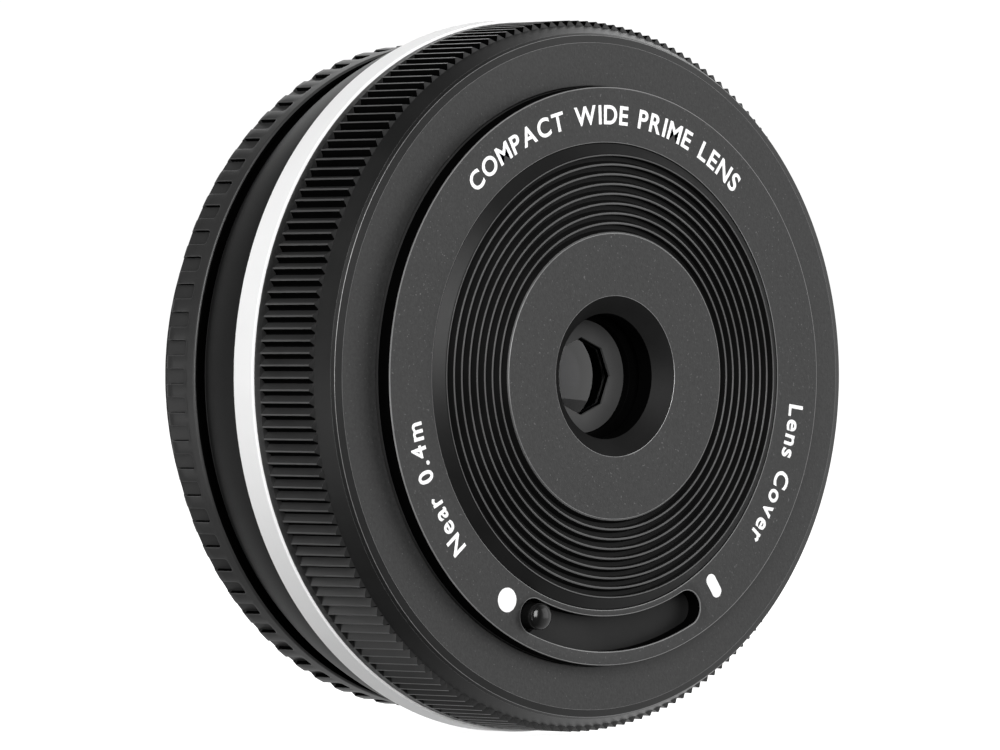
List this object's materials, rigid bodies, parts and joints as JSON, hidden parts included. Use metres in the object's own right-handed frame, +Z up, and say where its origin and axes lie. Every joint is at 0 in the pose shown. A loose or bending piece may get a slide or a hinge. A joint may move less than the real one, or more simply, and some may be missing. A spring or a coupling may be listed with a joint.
{
  "type": "prime camera lens",
  "caption": "Slim autofocus prime lens with a lever-worked cover in its front, a knurled grip band, a pale trim ring, a bayonet mount and a ribbed rear cap.",
  "frame": {"origin": "centre of the mount flange's mating face", "axes": "-Y out of the front of the lens along its optical axis, +Y towards the camera, +Z up with the lever slot at the bottom"},
  "size_m": [0.0606, 0.0321, 0.0606],
  "materials": {
    "front_black": "black anodised, finely blasted",
    "silver_trim": "bright satin silver",
    "barrel_black": "black anodised, satin",
    "cap_plastic": "moulded, fine grain",
    "mount_chrome": "brushed and plated",
    "screw_steel": "blackened or plain",
    "lever_black": "gloss black",
    "stop_grey": "dull grey-black",
    "cover_steel": "thin blackened steel",
    "coated_glass": "multi-coated",
    "cell_black": "black anodised, matt",
    "chassis_plastic": "glass-filled, matt",
    "copper_wire": "enamelled winding",
    "magnet_nickel": "nickel plated",
    "contact_gold": "gold plated",
    "board_green": "solder mask",
    "chip_black": "moulded",
    "flex_amber": "polyimide"
  },
  "bodies": {
    "lens_barrel": {"front_shell": "front_black", "trim_ring": "silver_trim", "rear_barrel": "barrel_black", "name_plate": "front_black", "ribbed_baffle": "front_black", "centre_disc": "front_black", "stop_plate": "stop_grey", "cover_base": "chassis_plastic", "blade_pivots": "screw_steel", "detent_spring": "screw_steel", "cover_screws": "screw_steel", "first_element": "coated_glass", "second_element": "coated_glass", "rear_element": "coated_glass", "front_lens_cell": "cell_black", "first_retaining_ring": "cell_black", "second_retaining_ring": "cell_black", "front_cell_screws": "screw_steel", "drive_magnets": "magnet_nickel", "magnet_yoke": "magnet_nickel", "position_sensor": "chip_black", "actuator_cover": "cell_black", "actuator_screws": "screw_steel", "main_guide_rod": "screw_steel", "second_guide_rod": "screw_steel", "chassis": "chassis_plastic", "main_board": "board_green", "board_chips": "chip_black", "board_connector": "chip_black", "board_screws": "screw_steel", "mount_flex": "flex_amber", "rear_lens_cell": "cell_black", "rear_retaining_ring": "cell_black", "rear_cell_screws": "screw_steel", "rear_baffle": "chassis_plastic", "contact_block": "chassis_plastic", "contact_pins": "contact_gold", "bayonet_mount": "mount_chrome", "mount_screws": "screw_steel"},
    "cover_ring": {"cam_ring": "cover_steel", "lever_pin": "lever_black"},
    "blade_upper": {"cover_blade_upper": "cover_steel"},
    "blade_lower": {"cover_blade_lower": "cover_steel"},
    "focus_group": {"focus_cell": "cell_black", "third_element": "coated_glass", "fourth_element": "coated_glass", "fifth_element": "coated_glass", "front_focus_spacer": "cell_black", "rear_focus_spacer": "cell_black", "focus_retaining_ring": "cell_black", "voice_coil": "copper_wire", "position_magnet": "magnet_nickel"},
    "rear_cap": {"rear_cap": "cap_plastic"}
  },
  "joints": [
    {"name": "cover_turn", "type": "hinge", "parent": "lens_barrel", "child": "cover_ring", "pos_m": [0, -0.01875, 0], "axis": [0, -1, 0], "range_deg": [0, 47.3]},
    {"name": "upper_blade_turn", "type": "hinge", "parent": "lens_barrel", "child": "blade_upper", "pos_m": [0.0123, -0.01837, 0], "axis": [0, -1, 0], "range_deg": [0, 30]},
    {"name": "lower_blade_turn", "type": "hinge", "parent": "lens_barrel", "child": "blade_lower", "pos_m": [-0.0123, -0.01812, 0], "axis": [0, -1, 0], "range_deg": [0, 30]},
    {"name": "focus_slide", "type": "slide", "parent": "lens_barrel", "child": "focus_group", "axis": [0, -1, 0], "range_m": [0, 0.0012]},
    {"name": "cap_pull", "type": "slide", "parent": "lens_barrel", "child": "rear_cap", "axis": [0, 1, 0], "range_m": [0, 0.03]}
  ],
  "couplings": [
    {"joint": "upper_blade_turn", "follows": "cover_turn", "ratio": 0.6342},
    {"joint": "lower_blade_turn", "follows": "cover_turn", "ratio": 0.6342}
  ]
}
